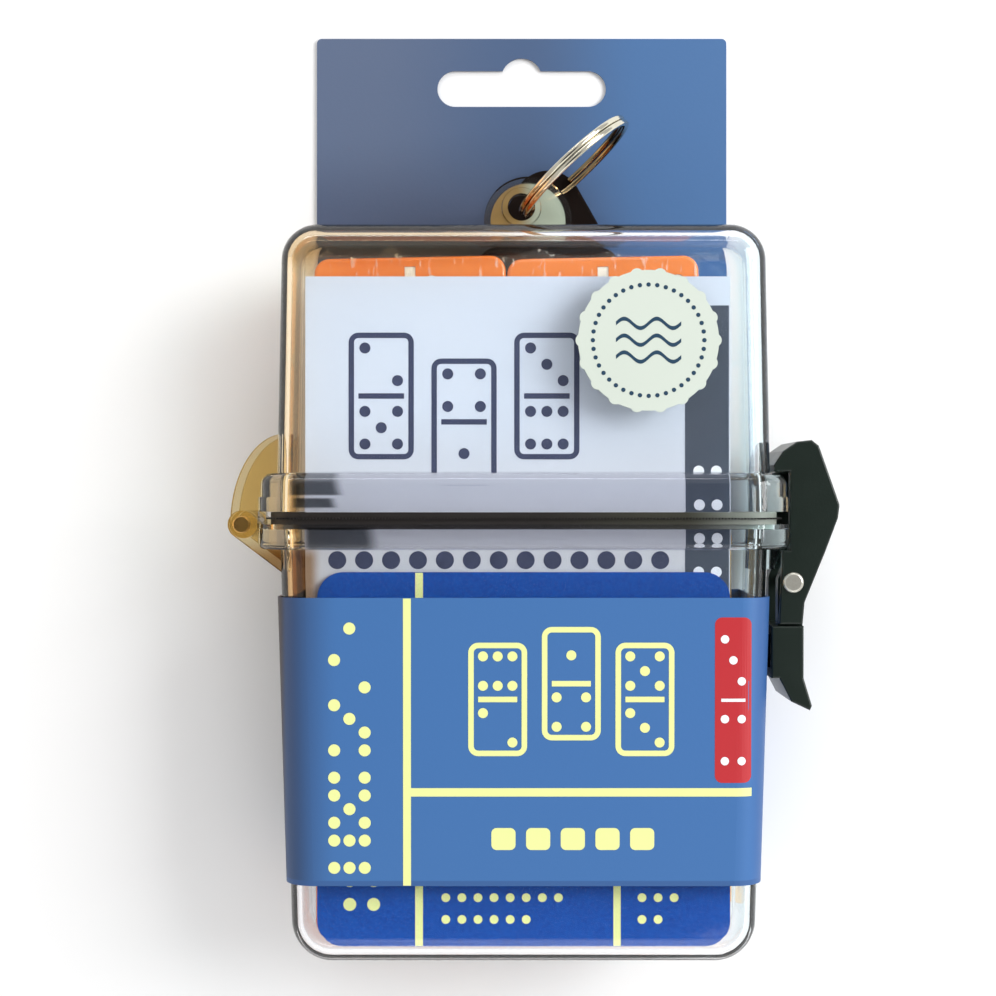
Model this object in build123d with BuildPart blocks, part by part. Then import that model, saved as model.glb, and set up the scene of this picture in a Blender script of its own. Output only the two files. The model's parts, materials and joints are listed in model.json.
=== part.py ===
from build123d import *
import math
import os

# Travel domino set: a clear hinged case with an over-centre latch, a card sleeve with a
# hang hole, and the game inside. All lengths are in millimetres.
# X runs across the case, Y from its foot to its roof, and Z up from the table it lies on.
# The origin is on the sleeve's back face, where the seam crosses the case's centre line.

os.makedirs("parts", exist_ok=True)

# Clearances
gap = 0.3
run_gap = 0.05
press_gap = 0.01
seal_gap = 0.1

# Domino tiles, in columns along X, rows along Y and layers along Z
tile_len = 37.5
tile_wid = 18.7
tile_thick = 7.3
tile_corner_r = 3.0
tile_edge_r = 0.8
tile_rows = 7
tile_layers = 2
highest_pips = 6
pip_r = 1.3
pip_depth = 0.4
pip_step_x = 5.2
pip_step_y = 4.4
bar_w = 2.2
bar_margin = 1.9
top_row_tilt = 1.2

# Pencil
pencil_d = 6.4
pencil_len = 88.0
pencil_point_len = 15.0
lead_d = 2.2
lead_point_len = 4.0
lead_show = 1.0

# Score pad and rules card
pad_h = 75.0
pad_head_gap = 8.0
pad_left_gap = 2.1
pad_right_gap = 4.4
board_t = 0.8
sheets_t = 3.0
cover_t = 0.3
rules_t = 0.6
rules_corner_r = 5.0
rules_side_gap = 2.8
rules_foot_gap = 0.9
rules_head = 10.5

# Room that the case leaves round its contents
left_room = 2.0
floor_room = 1.5
head_room = 4.0
back_room = 0.7
front_room = 1.8
pencil_room = 1.2

# Clear case
wall = 2.0
long_edge_r = 5.0
body_len = 85.6
body_corner_r = 8.0
body_draft_w = 2.5
body_draft_d = 1.1
lid_overhang = 0.5
lid_corner_r = 7.0
lid_draft_w = 1.0
lid_draft_d = 0.6

# Rims and seal at the seam
rim_proud = 3.5
seam_half = 1.2
lid_rim_h = 7.4
lid_rim_step_h = 2.8
lid_rim_step = 0.4
lid_rim_r = 2.4
body_rim_h = 4.8
body_rim_r = 1.2
seal_inset = 2.4
seal_w = 2.9
seal_tongue_inset = 0.6
seal_tongue_w = 1.5
seal_tongue_h = 0.9

# Hinge on the left side
hinge_y = -1.3
hinge_pin_r = 1.1
knuckle_r = 2.7
hinge_side_gap = 0.5
hinge_span = 21.0
ear_t = 3.0
ear_low = 9.4
web_t = 2.5
web_high = 17.6
pin_head_r = 1.7
pin_head_t = 0.8

# Latch on the right side
latch_w = 20.0
claw_cheek_t = 2.0
claw_wall = 1.8
claw_bulge = 9.6
claw_tail = 8.1
beak_lift = 6.1
latch_edge_r = 0.4
arm_t = 3.0
arm_r = 2.6
latch_pin_r = 1.1
pivot_out = 2.9
pivot_drop = 1.2
link_in = 2.0
link_down = 5.3
rivet_head_r = 2.0
rivet_head_t = 0.7
lever_len = 10.1
lever_t = 6.2
lever_wall = 1.8
lever_cheek_t = 2.0
lever_side_gap = 0.4
tab_reach = 1.6
tab_len = 6.2

# Roof eye, split ring and strap tab
eye_x = 1.0
eye_r = 8.7
eye_lift = 2.0
eye_t = 3.0
eye_rim = 1.2
eye_pocket = 0.5
eye_hole_r = 2.7
eye_boss = 1.2
eye_hole_dx = -1.3
eye_hole_dy = 2.7
ring_r = 13.3
ring_wire_r = 0.6
ring_pitch = 1.65
ring_direction = 42.0
ring_lean = -2.0
ring_split = 40.0
ring_jog = 30.0
ring_seat_x = 0.5
ring_seat_y = -0.9
strap_x = 5.4
strap_r = 7.0
strap_high = 14.9
strap_low = 8.0
strap_t = 2.4
strap_foot_half = 16.5
strap_gap = 0.05

# Card sleeve, with its header and hang hole
card_t = 0.5
sleeve_top = -15.2
sleeve_h = 54.9
fold_r = 0.8
header_half_w = 42.75
header_top = 99.7
header_corner_r = 1.0
slot_len = 35.2
slot_h = 7.5
slot_drop = 10.45
slot_bump_r = 4.3
slot_bump_lift = 2.1

# Round sticker on the lid's front
sticker_side = 23.9
sticker_drop = 22.8
sticker_r = 13.4
sticker_t = 0.25
scallops = 18
scallop_r = 1.3

# The case's inside at its foot comes from the contents and the room round them
tiles_w = 2 * tile_len + gap
tiles_h = tile_rows * tile_wid + (tile_rows - 1) * gap
tiles_t = tile_layers * tile_thick + (tile_layers - 1) * gap
pad_t = board_t + sheets_t + cover_t
inner_w = left_room + tiles_w + pencil_room + pencil_d + gap
inner_d = back_room + tiles_t + gap + pad_t + gap + rules_t + front_room
inner_foot = -body_len + wall
inner_roof = inner_foot + floor_room + tiles_h + head_room
lid_len = inner_roof + wall

body_end_w = inner_w / 2 + wall
body_end_d = inner_d / 2 + wall
body_half_w = body_end_w + body_draft_w
body_half_d = body_end_d + body_draft_d
lid_half_w = body_half_w + lid_overhang
lid_half_d = body_half_d + lid_overhang
lid_end_w = lid_half_w - lid_draft_w
lid_end_d = lid_half_d - lid_draft_d
rim_half_w = lid_half_w + rim_proud
rim_half_d = lid_half_d + rim_proud
rim_corner_r = long_edge_r + rim_proud
mid_z = card_t + gap + rim_half_d
lid_rim_top = seam_half + lid_rim_h
body_rim_low = -seam_half - body_rim_h


def taper(open_size, end_size, end_y, y):
    """Half width or half depth of a drafted tub at height y, from the seam to its end."""
    return open_size + (end_size - open_size) * y / end_y


def finish(part, name):
    """Label one finished piece and write it to its file."""
    part.label = name
    export_step(part, f"parts/{name}.step")


def tub(open_w, end_w, open_d, end_d, open_y, end_y, corner_r, edge_r):
    """Solid drafted tub: rounded corners seen from the front, rounded long edges."""
    with BuildPart() as solid:
        with BuildSketch(Plane.XY.offset(mid_z)) as front:
            with BuildLine():
                Polyline((-open_w, open_y), (open_w, open_y), (end_w, end_y), (-end_w, end_y), close=True)
            make_face()
            fillet(front.vertices().filter_by(lambda v: abs(v.Y - end_y) < 0.01), corner_r)
        extrude(amount=open_d + 1, both=True)
        with BuildSketch(Plane.YZ):
            with BuildLine():
                Polyline(
                    (open_y, mid_z - open_d),
                    (open_y, mid_z + open_d),
                    (end_y, mid_z + end_d),
                    (end_y, mid_z - end_d),
                    close=True,
                )
            make_face()
        extrude(amount=open_w + 1, both=True, mode=Mode.INTERSECT)
        back_face = solid.faces().sort_by(Axis.Z)[0]
        front_face = solid.faces().sort_by(Axis.Z)[-1]
        long_edges = (back_face.edges() + front_face.edges()).filter_by(
            lambda e: abs(e.center().Y - open_y) > 0.5
        )
        fillet(long_edges, edge_r)
    return solid.part


def case_tub(open_w, end_w, open_d, end_d, end_y, corner_r, inset, past_seam):
    """A shell's outer form with inset 0, or its cavity with the wall as inset."""
    way = math.copysign(1, end_y)
    inner_end = end_y - way * inset
    open_y = -way * past_seam
    return tub(
        taper(open_w, end_w, end_y, open_y) - inset,
        taper(open_w, end_w, end_y, inner_end) - inset,
        taper(open_d, end_d, end_y, open_y) - inset,
        taper(open_d, end_d, end_y, inner_end) - inset,
        open_y,
        inner_end,
        corner_r - inset,
        long_edge_r - inset,
    )


def rim_outline(inset):
    """The rim's rounded rectangle, drawn inwards by an inset, on a plane across Y."""
    with Locations((0, mid_z)):
        RectangleRounded(2 * (rim_half_w - inset), 2 * (rim_half_d - inset), rim_corner_r - inset)


body_shape = (body_half_w, body_end_w, body_half_d, body_end_d, -body_len, body_corner_r)
lid_shape = (lid_half_w, lid_end_w, lid_half_d, lid_end_d, lid_len, lid_corner_r)
body_outer = case_tub(*body_shape, 0, -seam_half)
body_cavity = case_tub(*body_shape, wall, seam_half)
lid_outer = case_tub(*lid_shape, 0, -seam_half)
lid_cavity = case_tub(*lid_shape, wall, seam_half)

# Hinge places, from the rims that the lid's swing has to clear
hinge_x = -(rim_half_w + hinge_side_gap + knuckle_r)
hinge_back = mid_z - hinge_span / 2
hinge_front = mid_z + hinge_span / 2
web_back = hinge_back + ear_t + gap
web_front = hinge_front - ear_t - gap
lid_wall_x = -(taper(lid_half_w, lid_end_w, lid_len, hinge_y + web_high) - wall / 2)
body_wall_x = body_half_w - wall / 2

# Latch places: the lever turns on the case at the pivot and carries the claw on the link
latch_back = mid_z - latch_w / 2
latch_front = mid_z + latch_w / 2
arm_back = latch_back + claw_cheek_t + gap
arm_front = latch_front - claw_cheek_t - gap
lug_back = arm_back + arm_t + gap
lug_front = arm_front - arm_t - gap
claw_x = rim_half_w + gap
beak_y = lid_rim_top + gap
beak_x = lid_half_w + gap + 0.4
pivot = (rim_half_w + pivot_out, body_rim_low - pivot_drop)
link = (pivot[0] - link_in, pivot[1] - link_down)

# The body: a drafted cup with its rim, two hinge ears and the lug that carries the latch
with BuildPart() as case_body:
    add(body_outer)
    with BuildSketch(Plane.XZ.offset(seam_half)):
        rim_outline(0)
    extrude(amount=body_rim_h)
    rim_foot = case_body.edges().filter_by(lambda e: abs(e.bounding_box().max.Y - body_rim_low) < 0.01)
    rim_foot = rim_foot.filter_by(lambda e: abs(e.bounding_box().min.Y - body_rim_low) < 0.01)
    outermost = rim_foot.filter_by(
        lambda e: abs(e.center().X) > body_half_w + 1 or abs(e.center().Z - mid_z) > body_half_d + 1
    )
    fillet(outermost, body_rim_r)
    for ear_z in (hinge_back, hinge_front - ear_t):
        with BuildSketch(Plane.XY.offset(ear_z)):
            with Locations((hinge_x, hinge_y)):
                Circle(knuckle_r)
            with Locations((-body_wall_x, hinge_y - ear_low)):
                Rectangle(0.5, ear_low - knuckle_r - 1, align=(Align.CENTER, Align.MIN))
            make_hull()
        extrude(amount=ear_t)
    with BuildSketch(Plane.XY.offset(lug_back)):
        with Locations(pivot):
            Circle(arm_r)
        with Locations((body_wall_x - 0.5, pivot[1])):
            Rectangle(0.5, 2 * arm_r + 1)
        make_hull()
    extrude(amount=lug_front - lug_back)
    add(body_cavity, mode=Mode.SUBTRACT)
    with BuildSketch(Plane.XZ.offset(seam_half)):
        rim_outline(seal_inset + seal_tongue_inset - seal_gap)
        rim_cut = seal_inset + seal_tongue_inset + seal_tongue_w + seal_gap
        with Locations((0, mid_z)):
            RectangleRounded(
                2 * (rim_half_w - rim_cut), 2 * (rim_half_d - rim_cut), rim_corner_r - rim_cut, mode=Mode.SUBTRACT
            )
    extrude(amount=seal_tongue_h + seal_gap, mode=Mode.SUBTRACT)
    with BuildSketch(Plane.XY.offset(hinge_back)):
        with Locations((hinge_x, hinge_y)):
            Circle(hinge_pin_r + press_gap)
    extrude(amount=hinge_span, mode=Mode.SUBTRACT)
    with BuildSketch(Plane.XY.offset(lug_back)):
        with Locations(pivot):
            Circle(latch_pin_r + press_gap)
    extrude(amount=lug_front - lug_back, mode=Mode.SUBTRACT)
finish(case_body.part, "case_body")

# The seal: a rubber ring that lies between the rims, with a tongue in the body's groove
with BuildPart() as seal_gasket:
    with BuildSketch(Plane.XZ.offset(-seam_half + seal_gap)):
        rim_outline(seal_inset)
        with Locations((0, mid_z)):
            RectangleRounded(
                2 * (rim_half_w - seal_inset - seal_w),
                2 * (rim_half_d - seal_inset - seal_w),
                rim_corner_r - seal_inset - seal_w,
                mode=Mode.SUBTRACT,
            )
    extrude(amount=2 * seam_half - seal_gap)
    with BuildSketch(Plane.XZ.offset(seam_half)):
        rim_outline(seal_inset + seal_tongue_inset)
        tongue_cut = seal_inset + seal_tongue_inset + seal_tongue_w
        with Locations((0, mid_z)):
            RectangleRounded(
                2 * (rim_half_w - tongue_cut),
                2 * (rim_half_d - tongue_cut),
                rim_corner_r - tongue_cut,
                mode=Mode.SUBTRACT,
            )
    extrude(amount=seal_tongue_h)
finish(seal_gasket.part, "seal_gasket")

# The lid: a shorter cup with a stepped rim, hinge webs, and the eye on its roof
eye_y = lid_len + eye_lift
hole_x = eye_x + eye_hole_dx
hole_y = eye_y + eye_hole_dy
with BuildPart() as case_lid:
    add(lid_outer)
    with BuildSketch(Plane.XZ.offset(-seam_half)):
        rim_outline(0)
    extrude(amount=-lid_rim_step_h)
    with BuildSketch(Plane.XZ.offset(-seam_half - lid_rim_step_h)):
        rim_outline(lid_rim_step)
    extrude(amount=-(lid_rim_h - lid_rim_step_h))
    rim_top = case_lid.edges().filter_by(lambda e: abs(e.bounding_box().max.Y - lid_rim_top) < 0.01)
    rim_top = rim_top.filter_by(lambda e: abs(e.bounding_box().min.Y - lid_rim_top) < 0.01)
    outermost = rim_top.filter_by(
        lambda e: abs(e.center().X) > lid_half_w + 1 or abs(e.center().Z - mid_z) > lid_half_d + 1
    )
    fillet(outermost, lid_rim_r)
    for web_z in (web_back, web_front - web_t):
        with BuildSketch(Plane.XY.offset(web_z)):
            with BuildLine():
                web_arc = EllipticalCenterArc(
                    (lid_wall_x, hinge_y), lid_wall_x - (hinge_x - knuckle_r), web_high, start_angle=90, arc_size=90
                )
                Polyline(
                    web_arc @ 1,
                    (hinge_x + knuckle_r, hinge_y),
                    (hinge_x + knuckle_r, seam_half + gap),
                    (lid_wall_x, seam_half + gap),
                    web_arc @ 0,
                )
            make_face()
        extrude(amount=web_t)
    with BuildSketch(Plane.XY.offset(web_back)):
        with Locations((hinge_x, hinge_y)):
            Circle(knuckle_r)
    extrude(amount=web_front - web_back)
    with BuildSketch(Plane.XY.offset(mid_z - eye_t / 2)):
        with Locations((eye_x, eye_y)):
            Circle(eye_r)
        with Locations((eye_x, lid_len - wall / 2)):
            Rectangle(2 * eye_r, 0.5)
        make_hull()
    extrude(amount=eye_t)
    add(lid_cavity, mode=Mode.SUBTRACT)
    for face_z, cut in ((mid_z - eye_t / 2, eye_pocket), (mid_z + eye_t / 2, -eye_pocket)):
        with BuildSketch(Plane.XY.offset(face_z)):
            with Locations((eye_x, eye_y)):
                Circle(eye_r - eye_rim)
            with Locations((eye_x, lid_len + eye_pocket)):
                Rectangle(3 * eye_r, 2 * eye_r, align=(Align.CENTER, Align.MAX), mode=Mode.SUBTRACT)
            with Locations((hole_x, hole_y)):
                Circle(eye_hole_r + eye_boss, mode=Mode.SUBTRACT)
        extrude(amount=cut, mode=Mode.SUBTRACT)
    with BuildSketch(Plane.XY.offset(mid_z - eye_t)):
        with Locations((hole_x, hole_y)):
            Circle(eye_hole_r)
    extrude(amount=2 * eye_t, mode=Mode.SUBTRACT)
    with BuildSketch(Plane.XY.offset(web_back)):
        with Locations((hinge_x, hinge_y)):
            Circle(hinge_pin_r + run_gap)
    extrude(amount=web_front - web_back, mode=Mode.SUBTRACT)
finish(case_lid.part, "case_lid")

# The hinge pin: headed at the front, held by the body's ears
with BuildPart() as hinge_pin:
    with BuildSketch(Plane.XY.offset(hinge_back)):
        with Locations((hinge_x, hinge_y)):
            Circle(hinge_pin_r)
    extrude(amount=hinge_span)
    with BuildSketch(Plane.XY.offset(hinge_front)):
        with Locations((hinge_x, hinge_y)):
            Circle(pin_head_r)
    extrude(amount=pin_head_t)
    chamfer(hinge_pin.edges().sort_by(Axis.Z)[-1], pin_head_t / 3)
finish(hinge_pin.part, "hinge_pin")

# The sleeve's outside follows the drafted body, so the band is lofted between two sections
sleeve_foot = sleeve_top - sleeve_h


def sleeve_half_w(y):
    """Half width of the sleeve's outside at height y."""
    return taper(body_half_w, body_end_w, -body_len, y) + gap + card_t


def band(top_y, foot_y, inset, corner_r, back_r):
    """The band's solid form, drawn inwards by an inset, between two heights."""
    with BuildPart() as solid:
        for y in (top_y, foot_y):
            half_w = sleeve_half_w(y) - inset
            front_z = mid_z + taper(body_half_d, body_end_d, -body_len, y) + gap + card_t - inset
            with BuildSketch(Plane.XZ.offset(-y)) as section:
                with Locations((0, (front_z + inset) / 2)):
                    Rectangle(2 * half_w, front_z - inset)
                fillet(section.vertices().group_by(Axis.Y)[-1], corner_r)
                fillet(section.vertices().group_by(Axis.Y)[0], back_r)
        loft(ruled=True)
    return solid.part


band_outer = band(sleeve_top, sleeve_foot, 0, long_edge_r + gap + card_t, fold_r)
band_inner = band(sleeve_top + 1, sleeve_foot - 1, card_t, long_edge_r + gap, fold_r - card_t)

# The card sleeve: a folded band round the body, whose back panel runs up to the hang hole
with BuildPart() as card_sleeve:
    add(band_outer)
    add(band_inner, mode=Mode.SUBTRACT)
    with BuildSketch() as header:
        with Locations((0, sleeve_foot + sleeve_h / 2)):
            Rectangle(2 * header_half_w, header_top - sleeve_foot - sleeve_h / 2, align=(Align.CENTER, Align.MIN))
        fillet(header.vertices().group_by(Axis.Y)[-1], header_corner_r)
        with Locations((0, header_top - slot_drop)):
            SlotOverall(slot_len, slot_h, mode=Mode.SUBTRACT)
        with Locations((0, header_top - slot_drop + slot_bump_lift)):
            Circle(slot_bump_r, mode=Mode.SUBTRACT)
    extrude(amount=card_t)
finish(card_sleeve.part, "card_sleeve")

# The claw: two cheeks joined by a wall and a beak that hooks over the lid's rim
sleeve_out_x = sleeve_half_w(sleeve_top)
lever_in_x = sleeve_out_x + lever_side_gap
lever_out_x = lever_in_x + lever_t
claw_in_x = lever_in_x + 1.5
notch_y = body_rim_low - gap
claw_foot = link[1] - claw_tail
beak_top = beak_y + beak_lift
claw_open_y = pivot[1] + arm_r + 1.8
with BuildPart() as latch_claw:
    with BuildSketch(Plane.XY.offset(latch_back)) as outline:
        with BuildLine():
            Polyline(
                (claw_x, notch_y),
                (claw_x, beak_y),
                (beak_x, beak_y),
                (beak_x, beak_y + 1.3),
                (beak_x + 1.8, beak_top - 2.1),
                (claw_x + 1.4, beak_top - 0.3),
                (claw_x + 4.2, beak_top),
                (claw_x + 5.6, beak_top - 1.1),
                (claw_x + claw_bulge, beak_y - 6.4),
                (claw_x + claw_bulge - 0.3, beak_y - 8.9),
                (claw_x + claw_bulge - 2.7, link[1] + 6.1),
                (lever_out_x + 0.2, link[1] - 3.8),
                (lever_out_x - 0.2, claw_foot),
                (claw_in_x, claw_foot),
                (claw_in_x + 0.4, link[1] + 0.5),
                (claw_in_x + 0.6, notch_y),
                close=True,
            )
        make_face()
        corners = outline.vertices()
        fillet(corners.filter_by(lambda v: v.X > claw_x + claw_bulge - 0.5), 2.0)
        fillet(corners.filter_by(lambda v: v.Y > beak_top - 0.4), 1.0)
    extrude(amount=latch_w)
    cheek_faces = latch_claw.faces().filter_by(Axis.Z)
    fillet(cheek_faces.edges(), latch_edge_r)
    with BuildSketch(Plane.XY.offset(latch_back + claw_cheek_t)):
        with BuildLine():
            Polyline(
                (beak_x - 2, beak_y),
                (claw_x + claw_bulge - 4.6, beak_y),
                (claw_x + claw_bulge - claw_wall, beak_y - 6.6),
                (claw_x + claw_bulge - claw_wall - 0.3, beak_y - 8.5),
                (claw_x + claw_bulge - claw_wall - 1.5, claw_open_y),
                (claw_x + claw_bulge + 2, claw_open_y),
                (claw_x + claw_bulge + 2, claw_foot - 2),
                (beak_x - 2, claw_foot - 2),
                close=True,
            )
        make_face()
    extrude(amount=latch_w - 2 * claw_cheek_t, mode=Mode.SUBTRACT)
    with BuildSketch(Plane.XY.offset(latch_back)):
        with Locations(link):
            Circle(latch_pin_r + press_gap)
    extrude(amount=latch_w, mode=Mode.SUBTRACT)
finish(latch_claw.part, "latch_claw")

# The lever: a channel with a finger tab, and two arms that reach up between the cheeks
shoulder_y = claw_foot - gap
lever_foot = shoulder_y - lever_len
with BuildPart() as latch_lever:
    with BuildSketch(Plane.XY.offset(latch_back)):
        with BuildLine():
            Polyline(
                (lever_in_x, shoulder_y),
                (lever_out_x, shoulder_y),
                (lever_out_x, lever_foot),
                (lever_out_x + tab_reach, lever_foot - tab_len + 0.9),
                (lever_out_x + tab_reach - 0.4, lever_foot - tab_len),
                (lever_in_x + 3.8, lever_foot - tab_len + 1.7),
                (lever_in_x + 1.5, lever_foot),
                (lever_in_x, lever_foot),
                close=True,
            )
        make_face()
    extrude(amount=latch_w)
    side_faces = latch_lever.faces().filter_by(Axis.Z)
    fillet(side_faces.edges(), latch_edge_r)
    with BuildSketch(Plane.XY.offset(latch_back + lever_cheek_t)):
        with Locations((lever_out_x - lever_wall, shoulder_y - lever_wall)):
            Rectangle(lever_t, lever_len - 2 * lever_wall, align=(Align.MAX, Align.MAX))
    extrude(amount=latch_w - 2 * lever_cheek_t, mode=Mode.SUBTRACT)
    for arm_z in (arm_back, arm_front - arm_t):
        with BuildSketch(Plane.XY.offset(arm_z)):
            with Locations(pivot, link):
                Circle(arm_r)
            make_hull()
            with BuildLine():
                Polyline(
                    (link[0] - arm_r, link[1]),
                    (link[0] + arm_r, link[1]),
                    (lever_out_x, shoulder_y - lever_wall),
                    (claw_in_x, shoulder_y - lever_wall),
                    close=True,
                )
            make_face()
        extrude(amount=arm_t)
        with BuildSketch(Plane.XY.offset(arm_z)):
            with Locations(pivot, link):
                Circle(latch_pin_r + run_gap)
        extrude(amount=arm_t, mode=Mode.SUBTRACT)
finish(latch_lever.part, "latch_lever")

# The lever's pin, through the case's lug and the lever's arms
with BuildPart() as lever_pin:
    with BuildSketch(Plane.XY.offset(arm_back)):
        with Locations(pivot):
            Circle(latch_pin_r)
    extrude(amount=arm_front - arm_back)
finish(lever_pin.part, "lever_pin")

# The claw's rivet, with a low domed head on each cheek
with BuildPart() as claw_rivet:
    with BuildSketch(Plane.XY.offset(latch_back)):
        with Locations(link):
            Circle(latch_pin_r)
    extrude(amount=latch_w)
    for face_z, rise in ((latch_back, -rivet_head_t), (latch_front, rivet_head_t)):
        with BuildSketch(Plane.XY.offset(face_z)):
            with Locations(link):
                Circle(rivet_head_r)
        extrude(amount=rise)
    for rim_edge in (claw_rivet.edges().sort_by(Axis.Z)[0], claw_rivet.edges().sort_by(Axis.Z)[-1]):
        fillet(rim_edge, rivet_head_t * 0.8)
finish(claw_rivet.part, "claw_rivet")

# The split ring: two flat turns of one wire, which steps across where the ring is split.
# It leans in the eye's hole, and lies towards the hole's lower side.
turn = math.radians(ring_direction)
reach = Vector(math.cos(turn), math.sin(turn), 0)
ring_centre = Vector(hole_x + ring_seat_x, hole_y + ring_seat_y, mid_z) + reach * ring_r
across = Vector(-math.sin(turn), math.cos(turn), 0)
lean = math.radians(ring_lean)
ring_plane = Plane(
    origin=ring_centre,
    x_dir=reach,
    z_dir=across * math.cos(lean) + Vector(0, 0, math.sin(lean)),
)
half_jog = ring_jog / 2
half_split = ring_split / 2
half_pitch = ring_pitch / 2


def on_ring(angle, shift):
    """A point on the ring's wire, in the ring's own plane, shifted along its axis."""
    return (ring_r * math.cos(math.radians(angle)), ring_r * math.sin(math.radians(angle)), shift)


def along_ring(angle):
    """The wire's direction at an angle, where it runs flat."""
    return (-math.sin(math.radians(angle)), math.cos(math.radians(angle)), 0)


# The step sits at ring_step_at, on the ring's lower side and well away from the hole
ring_step_at = 112.0
full_turn = 360
wire_start = ring_step_at + half_split - full_turn
step_start = ring_step_at - half_jog
step_end = ring_step_at + half_jog
wire_end = ring_step_at + full_turn - half_split
with BuildPart() as split_ring:
    with BuildLine(ring_plane) as wire_path:
        first_middle = (wire_start + step_start) / 2
        second_middle = (step_end + wire_end) / 2
        ThreePointArc(
            on_ring(wire_start, -half_pitch), on_ring(first_middle, -half_pitch), on_ring(step_start, -half_pitch)
        )
        Spline(
            on_ring(step_start, -half_pitch),
            on_ring(ring_step_at, 0),
            on_ring(step_end, half_pitch),
            tangents=(along_ring(step_start), along_ring(step_end)),
        )
        ThreePointArc(
            on_ring(step_end, half_pitch), on_ring(second_middle, half_pitch), on_ring(wire_end, half_pitch)
        )
    with BuildSketch(Plane(origin=wire_path.line @ 0, z_dir=wire_path.line % 0)):
        Circle(ring_wire_r)
    sweep()
print("split ring: least gap between its turns", round(ring_pitch - 2 * ring_wire_r, 3))
finish(split_ring.part, "split_ring")

# The strap tab: a black rubber tongue on the lid's back that stands up behind the eye
strap_foot = lid_len - strap_low
strap_front = mid_z - taper(lid_half_d, lid_end_d, lid_len, strap_foot) - strap_gap
with BuildPart() as strap_tab:
    with BuildSketch(Plane.XY.offset(strap_front - strap_t)):
        with Locations((strap_x, lid_len + strap_high - strap_r)):
            Circle(strap_r)
        with Locations((strap_x, strap_foot)):
            Rectangle(2 * strap_foot_half, 1, align=(Align.CENTER, Align.MIN))
        make_hull()
    extrude(amount=strap_t)
    fillet(strap_tab.faces().filter_by(Axis.Z).edges(), 0.4)
finish(strap_tab.part, "strap_tab")

# The round sticker, with a scalloped edge, on the lid's slightly sloping front
sticker_x = lid_half_w - sticker_side
sticker_y = lid_len - sticker_drop
lid_slope = (lid_half_d - lid_end_d) / lid_len
sticker_z = mid_z + taper(lid_half_d, lid_end_d, lid_len, sticker_y)
with BuildPart() as round_sticker:
    with BuildSketch(Plane(origin=(sticker_x, sticker_y, sticker_z), x_dir=(1, 0, 0), z_dir=(0, lid_slope, 1))):
        Circle(sticker_r)
        with PolarLocations(sticker_r - scallop_r * 0.62, scallops):
            Circle(scallop_r)
    extrude(amount=sticker_t)
finish(round_sticker.part, "round_sticker")

# The tiles: a double-six set, laid face up in two columns, seven rows and two layers.
# Each half has its pips on a three by three grid.
pip_places = {
    0: [],
    1: [(0, 0)],
    2: [(-1, 1), (1, -1)],
    3: [(-1, 1), (0, 0), (1, -1)],
    4: [(-1, 1), (1, 1), (-1, -1), (1, -1)],
    5: [(-1, 1), (1, 1), (0, 0), (-1, -1), (1, -1)],
    6: [(-1, 1), (0, 1), (1, 1), (-1, -1), (0, -1), (1, -1)],
}
tile_left = -inner_w / 2 + left_room
tile_foot = inner_foot + floor_room
tile_back = mid_z - inner_d / 2 + back_room
pairs = [(low, high) for high in range(highest_pips + 1) for low in range(high + 1)]
# Steps of this count through the list mix the tiles, as after a shuffle
shuffle_count = 11
mixed = [pairs[(i * shuffle_count) % len(pairs)] for i in range(len(pairs))]
per_layer = 2 * tile_rows


def make_tile(left_pips, right_pips, corner, tilt):
    """One tile with its pips and its bar, turned by a tilt about its lower left corner."""
    with BuildPart() as tile:
        with BuildSketch():
            with Locations((tile_len / 2, tile_wid / 2)):
                RectangleRounded(tile_len, tile_wid, tile_corner_r)
        extrude(amount=tile_thick)
        fillet(tile.faces().filter_by(Axis.Z).edges(), tile_edge_r)
        with BuildSketch(Plane.XY.offset(tile_thick)):
            with Locations((tile_len / 2, tile_wid / 2)):
                Rectangle(bar_w, tile_wid - 2 * bar_margin)
            for middle_x, pips in ((tile_len / 4, left_pips), (tile_len * 3 / 4, right_pips)):
                for column, row in pip_places[pips]:
                    with Locations((middle_x + column * pip_step_x, tile_wid / 2 + row * pip_step_y)):
                        Circle(pip_r)
        extrude(amount=-pip_depth, mode=Mode.SUBTRACT)
    return Pos(*corner) * Rot(0, 0, tilt) * tile.part


for place, (low, high) in enumerate(mixed):
    layer, rest = divmod(place, per_layer)
    row, column = divmod(rest, 2)
    left_corner = (
        tile_left + column * (tile_len + gap),
        tile_foot + row * (tile_wid + gap),
        tile_back + layer * (tile_thick + gap),
    )
    leaning = top_row_tilt if row == tile_rows - 1 else 0
    finish(make_tile(low, high, left_corner, leaning), f"tile_{low}_{high}")

# The score pad: a board, a block of sheets and a printed cover, in front of the tiles
pad_top = inner_roof - pad_head_gap
pad_foot = pad_top - pad_h
pad_wall = taper(body_half_w, body_end_w, -body_len, pad_foot) - wall
pad_left = -pad_wall + pad_left_gap
pad_w = 2 * pad_wall - pad_left_gap - pad_right_gap
pad_back = tile_back + tiles_t + gap


def leaf(name, back_z, thick):
    """One layer of the score pad."""
    with BuildPart() as layer:
        with BuildSketch(Plane.XY.offset(back_z)):
            with Locations((pad_left, pad_foot)):
                Rectangle(pad_w, pad_h, align=(Align.MIN, Align.MIN))
        extrude(amount=thick)
    finish(layer.part, name)


leaf("pad_board", pad_back, board_t)
leaf("pad_sheets", pad_back + board_t, sheets_t)
leaf("pad_cover", pad_back + board_t + sheets_t, cover_t)

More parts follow.
